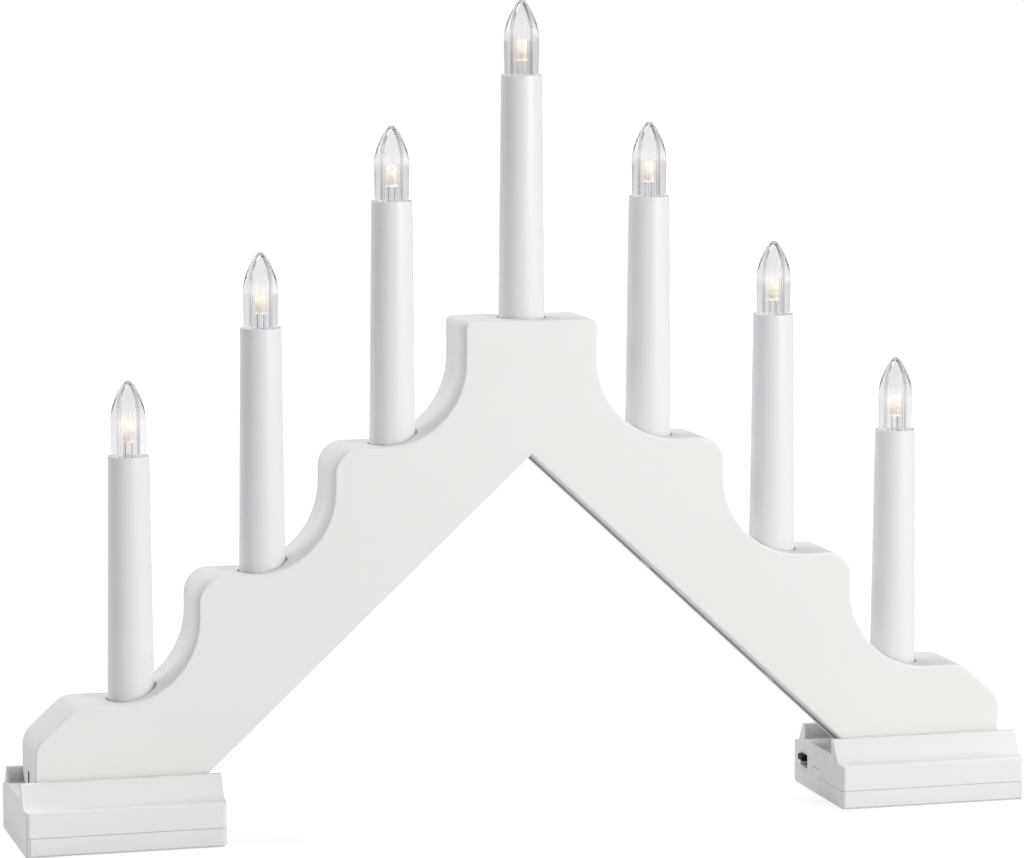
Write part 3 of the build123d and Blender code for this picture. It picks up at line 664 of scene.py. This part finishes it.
floor_finish = bpy.data.materials.new("white_floor")
floor_finish.use_nodes = True
tree = floor_finish.node_tree
tree.nodes.remove(tree.nodes["Principled BSDF"])
path = put(tree, "ShaderNodeLightPath").outputs
spot = put(tree, "ShaderNodeTexCoord").outputs["Object"]
reach = put(tree, "ShaderNodeVectorMath", {"operation": "LENGTH"}, _0=spot).outputs["Value"]
whiteness = spread(tree, reach, low=0.76, high=1.0, start=0.3, end=1.3)
greying = spread(tree, path["Is Camera Ray"], low=0.63, high=1.0, start=0, end=1)
dimming = reckon(tree, "MULTIPLY", greying, mirror_dimming(tree, path))
whiteness = reckon(tree, "MULTIPLY", whiteness, dimming)
shine = put(tree, "ShaderNodeEmission", Color=(1, 1, 1, 1), Strength=whiteness)
shadowed = put(tree, "ShaderNodeBsdfDiffuse", Color=(0.34, 0.34, 0.34, 1))
seen_floor = put(tree, "ShaderNodeAddShader", _0=shadowed.outputs[0], _1=shine.outputs[0])
bounce = put(tree, "ShaderNodeBsdfDiffuse", Color=(0.74, 0.74, 0.75, 1))
seen = reckon(tree, "MAXIMUM", path["Is Camera Ray"], path["Is Transmission Ray"])
seen = reckon(tree, "MAXIMUM", seen, path["Is Glossy Ray"])
top_side = put(tree, "ShaderNodeMixShader", _0=seen, _1=bounce.outputs[0], _2=seen_floor.outputs[0])
from_below = put(tree, "ShaderNodeNewGeometry").outputs["Backfacing"]
window = put(tree, "ShaderNodeBsdfTransparent")
surface = put(tree, "ShaderNodeMixShader", _0=from_below, _1=top_side.outputs[0], _2=window.outputs[0])
tree.links.new(surface.outputs[0], tree.nodes["Material Output"].inputs["Surface"])
floor_mesh.materials.append(floor_finish)
print("finish:", floor_finish.name, len(tree.nodes), "nodes")

# %% World
world = bpy.data.worlds.new("studio")
world.use_nodes = True
bpy.context.scene.world = world
tree = world.node_tree
path = put(tree, "ShaderNodeLightPath").outputs
sky = put(tree, "ShaderNodeTexCoord").outputs["Generated"]
way = put(tree, "ShaderNodeSeparateXYZ", Vector=sky).outputs
toward_back = spread(tree, way["Y"], low=0.45, high=0.70, start=-0.2, end=0.8)
toward_back = reckon(tree, "MULTIPLY", toward_back, mirror_dimming(tree, path))
under_ceiling = spread(tree, way["Z"], low=1.0, high=0.03, start=0.06, end=0.28)
mirror_level = reckon(tree, "MULTIPLY", toward_back, under_ceiling)
mirror_rays = reckon(tree, "MAXIMUM", path["Is Glossy Ray"], path["Is Transmission Ray"])
dome_level = spread(tree, way["Z"], low=0.165, high=0.46, start=0.3, end=0.9)
level = between(tree, mirror_rays, dome_level, mirror_level)
level = between(tree, path["Is Camera Ray"], level, 1.0)
background = tree.nodes["Background"]
background.inputs["Color"].default_value = (1, 1, 1, 1)
tree.links.new(level, background.inputs["Strength"])
print("world:", len(tree.nodes), "nodes")

# %% [markdown]
# ## Lamps
# A large key lamp to the right of the camera lights the fronts, a fill behind the left shoulder lifts the
# sawn edges, and a lamp overhead lights the treads. Sun lamps would be simpler but cast hard shadows. Square
# area lamps about a metre wide give the soft shading of a studio, and hung on a sphere round the arch they
# are placed by two angles each.

# %% Lamps
arch_middle = Vector((0, 0, 150)) * MM


def soft_lamp(name, azimuth, elevation, distance, side, watts, colour):
    """Hangs a square area lamp on a sphere round the arch, aimed at its middle. Azimuth 0 is the front."""
    data = bpy.data.lights.new(name, "AREA")
    data.size = side
    data.energy = watts
    data.color = colour
    lamp = bpy.data.objects.new(name, data)
    around, above = math.radians(azimuth), math.radians(elevation)
    outward = Vector((math.sin(around), -math.cos(around), 0)) * math.cos(above)
    away = outward + Vector((0, 0, math.sin(above)))
    aim = away.to_track_quat("Z", "Y").to_matrix().to_4x4()
    lamp.matrix_world = Matrix.Translation(arch_middle + away * distance) @ aim
    bpy.context.scene.collection.objects.link(lamp)
    return lamp


lamps = [
    soft_lamp(
        "key", azimuth=33, elevation=20, distance=2.2, side=1.1, watts=30.6, colour=(1.0, 0.995, 0.985)
    ),
    soft_lamp(
        "back_fill", azimuth=-130, elevation=26, distance=2.2, side=1.0, watts=14.2, colour=(0.97, 0.985, 1.0)
    ),
    soft_lamp(
        "overhead", azimuth=-170, elevation=74, distance=2.0, side=1.2, watts=18.2, colour=(0.98, 0.99, 1.0)
    ),
]
print("lamps:", [(lamp.name, round(lamp.data.energy, 1)) for lamp in lamps])

# %% [markdown]
# ## View settings
# The Standard view shows a colour about as it is written, where a filmic one would grey the whites.

# %% View settings
bpy.context.scene.view_settings.view_transform = "Standard"
